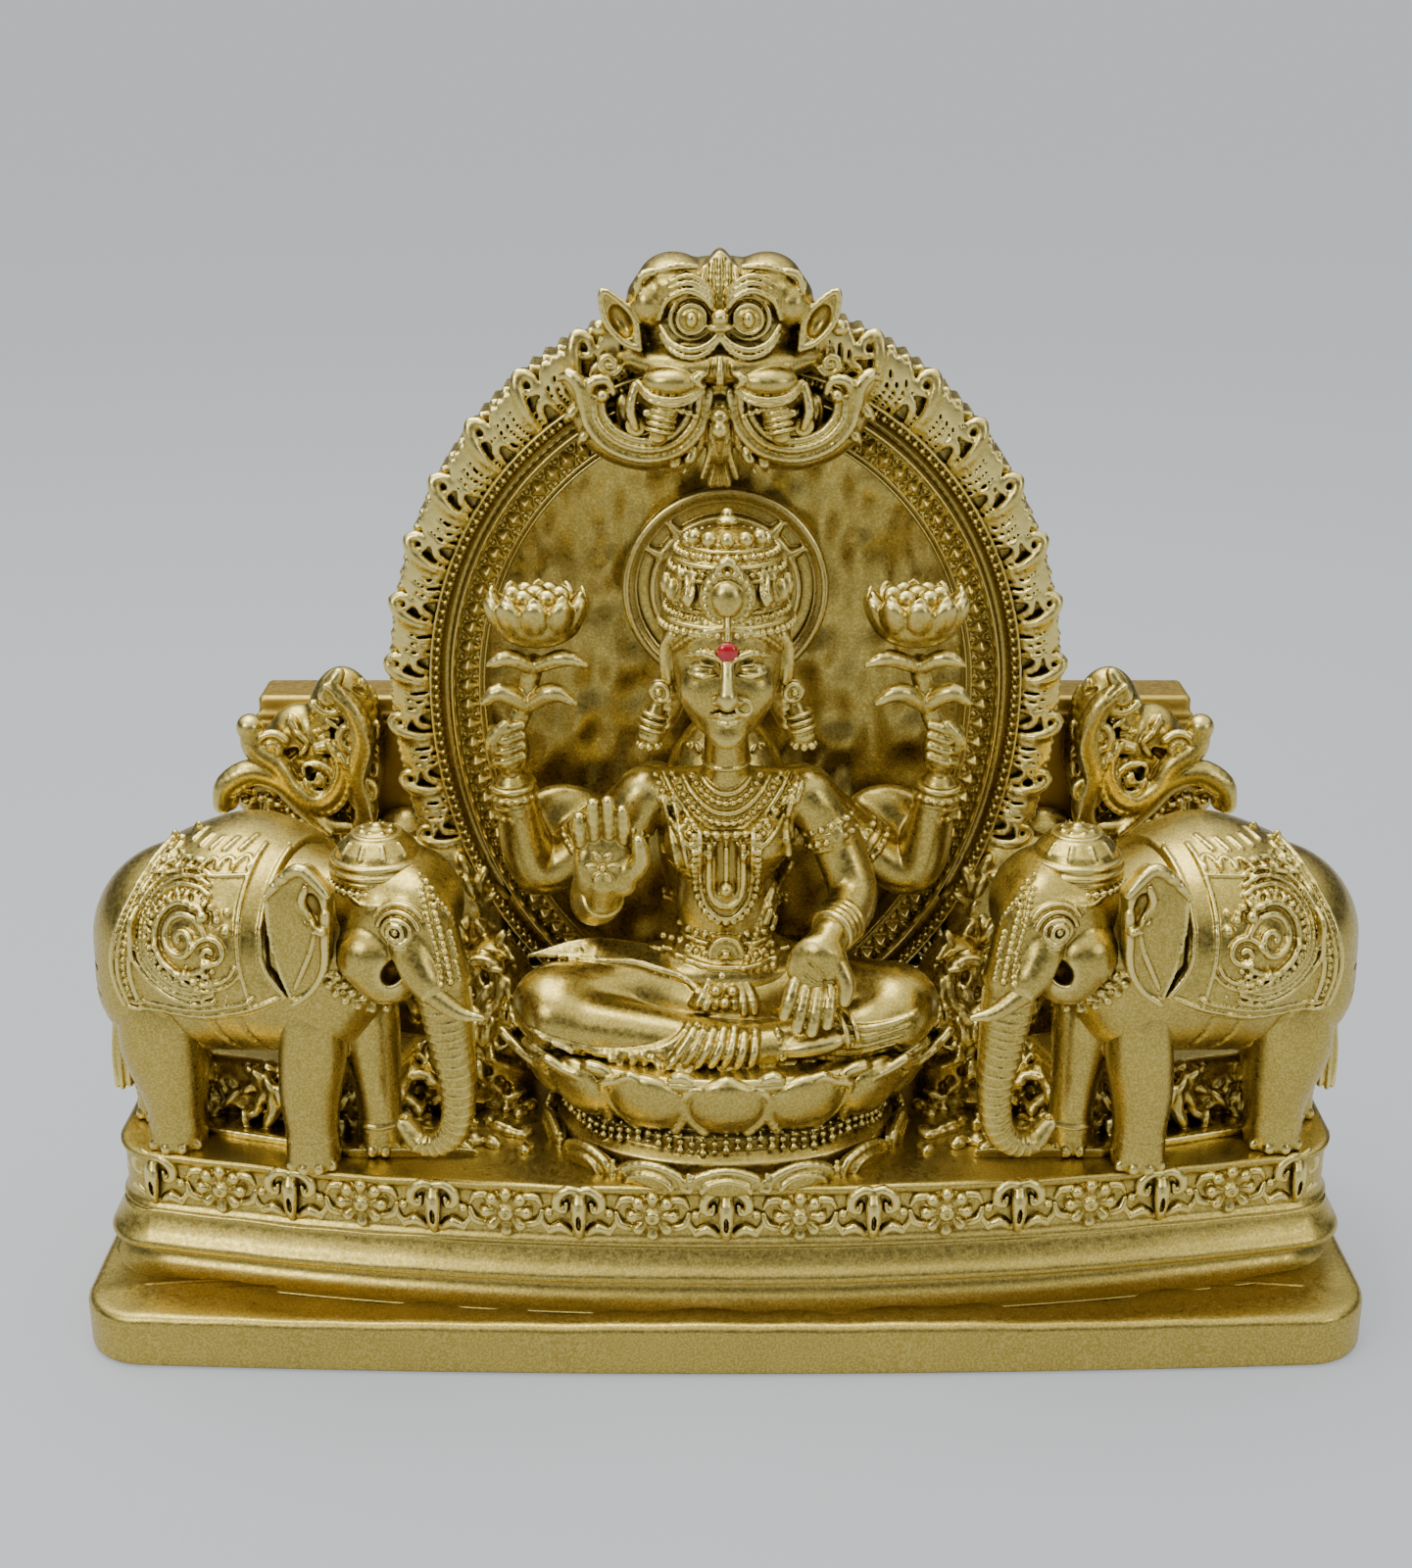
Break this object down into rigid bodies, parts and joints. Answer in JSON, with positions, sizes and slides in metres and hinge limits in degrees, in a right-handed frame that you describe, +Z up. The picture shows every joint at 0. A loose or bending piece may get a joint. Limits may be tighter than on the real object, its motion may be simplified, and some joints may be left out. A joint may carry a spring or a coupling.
{
  "type": "hindu deity statue",
  "caption": "Gold-painted statuette: seated four-armed goddess on a lotus between two elephants, under an oval flame-edged arch.",
  "frame": {"origin": "middle of the base slab's underside, at the centre of the outline", "axes": "+Z up, the front faces -Y, +X to the right as seen from the front"},
  "size_m": [0.202, 0.068, 0.165],
  "materials": {
    "gold_paint": "metallic gold paint over cast filled resin, fine grained, worn on high spots",
    "shaded_gold_paint": "thin gold paint over cast filled resin, darker and patchy in the recesses",
    "red_enamel": "glossy drop of red enamel paint"
  },
  "bodies": {
    "root": {"arch_back_plate": "shaded_gold_paint", "arch_beaded_band": "gold_paint", "arch_flame_border": "gold_paint", "arch_lozenge_band": "gold_paint", "base_slab": "gold_paint", "crest_curling_scrolls": "gold_paint", "crest_lion_mask": "gold_paint", "deity_crossed_legs": "gold_paint", "deity_crown": "gold_paint", "deity_ear_pendants": "gold_paint", "deity_front_left_arm": "gold_paint", "deity_front_left_hand": "gold_paint", "deity_front_right_arm": "gold_paint", "deity_front_right_hand": "gold_paint", "deity_head": "gold_paint", "deity_pendant_garland": "gold_paint", "deity_rear_left_arm": "gold_paint", "deity_rear_right_arm": "gold_paint", "deity_torso": "gold_paint", "forehead_dot": "red_enamel", "frieze_flowers": "gold_paint", "frieze_hanging_buds": "gold_paint", "halo_disc": "gold_paint", "left_elephant_body": "gold_paint", "left_elephant_ear": "gold_paint", "left_elephant_head": "gold_paint", "left_elephant_head_cap": "gold_paint", "left_elephant_legs": "gold_paint", "left_elephant_saddle_cloth": "gold_paint", "left_elephant_tail": "gold_paint", "left_elephant_trunk": "gold_paint", "left_elephant_tusk": "gold_paint", "left_held_lotus": "gold_paint", "left_leafy_ground": "shaded_gold_paint", "left_wing_block": "shaded_gold_paint", "left_wing_scrolls": "gold_paint", "lotus_bowl_petals": "gold_paint", "lotus_core": "gold_paint", "lotus_foot_petals": "gold_paint", "plinth_cove_step": "gold_paint", "plinth_deck": "gold_paint", "plinth_lip": "gold_paint", "right_elephant_body": "gold_paint", "right_elephant_ear": "gold_paint", "right_elephant_head": "gold_paint", "right_elephant_head_cap": "gold_paint", "right_elephant_legs": "gold_paint", "right_elephant_saddle_cloth": "gold_paint", "right_elephant_tail": "gold_paint", "right_elephant_trunk": "gold_paint", "right_elephant_tusk": "gold_paint", "right_held_lotus": "gold_paint", "right_leafy_ground": "shaded_gold_paint", "right_wing_block": "shaded_gold_paint", "right_wing_scrolls": "gold_paint"}
  },
  "joints": []
}
